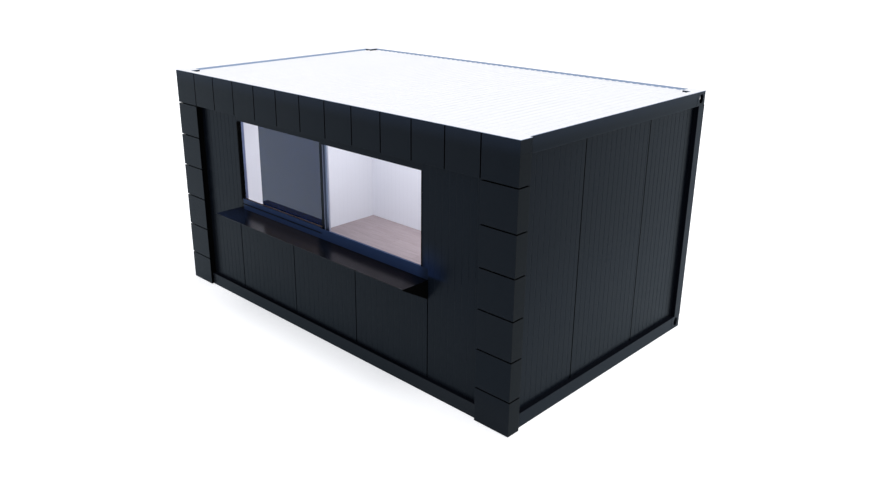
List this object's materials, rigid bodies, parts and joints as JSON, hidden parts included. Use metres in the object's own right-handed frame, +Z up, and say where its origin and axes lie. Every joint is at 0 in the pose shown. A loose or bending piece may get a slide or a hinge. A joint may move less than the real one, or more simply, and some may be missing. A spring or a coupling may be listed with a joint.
{
  "type": "sales container",
  "caption": "Dark steel-framed sales container with a white roof, a tiled front, a wide serving window and a black counter shelf.",
  "frame": {"origin": "centre of the footprint's box, counter included, on the ground", "axes": "+X along the length to the right end, +Y from the serving front to the back, +Z up"},
  "size_m": [5.06, 3.273, 2.6],
  "materials": {
    "frame_steel": "satin",
    "floor_laminate": "satin",
    "roof_white": "satin",
    "wall_panel": "satin",
    "lining_white": "matte",
    "cladding_tile": "satin",
    "black_trim": "matte",
    "window_frame": "satin",
    "sill_blue": "satin",
    "tinted_glass": "gloss",
    "track_bronze": "satin",
    "stile_aluminium": "satin",
    "counter_gloss": "gloss"
  },
  "bodies": {
    "root": {"base_rail_front": "frame_steel", "base_rail_back": "frame_steel", "base_rail_left": "frame_steel", "base_rail_right": "frame_steel", "base_corner_castings": "frame_steel", "corner_post_front_left": "frame_steel", "corner_post_front_right": "frame_steel", "corner_post_back_left": "frame_steel", "corner_post_back_right": "frame_steel", "roof_corner_castings": "frame_steel", "roof_rail_front": "frame_steel", "roof_rail_back": "frame_steel", "roof_rail_left": "frame_steel", "roof_rail_right": "frame_steel", "floor_panel": "frame_steel", "fascia_backing": "black_trim", "left_column_backing": "black_trim", "right_column_backing": "black_trim", "window_jambs": "black_trim", "counter_brackets": "black_trim", "floor_covering": "floor_laminate", "roof_sheet": "roof_white", "roof_cap_front": "roof_white", "roof_cap_back": "roof_white", "roof_cap_left": "roof_white", "roof_cap_right": "roof_white", "front_panel_left": "wall_panel", "front_panel_right": "wall_panel", "front_panels_below_window": "wall_panel", "front_panel_over_window": "wall_panel", "back_wall_panels": "wall_panel", "left_wall_panels": "wall_panel", "right_wall_panels": "wall_panel", "ceiling_panel": "lining_white", "lining_front": "lining_white", "lining_back": "lining_white", "lining_left": "lining_white", "lining_right": "lining_white", "fascia_tiles": "cladding_tile", "left_column_tiles": "cladding_tile", "right_column_tiles": "cladding_tile", "window_head": "window_frame", "window_mullion": "window_frame", "window_sill": "sill_blue", "sliding_pane": "tinted_glass", "pane_track": "track_bronze", "pane_stile": "stile_aluminium", "counter_shelf": "counter_gloss"}
  },
  "joints": []
}
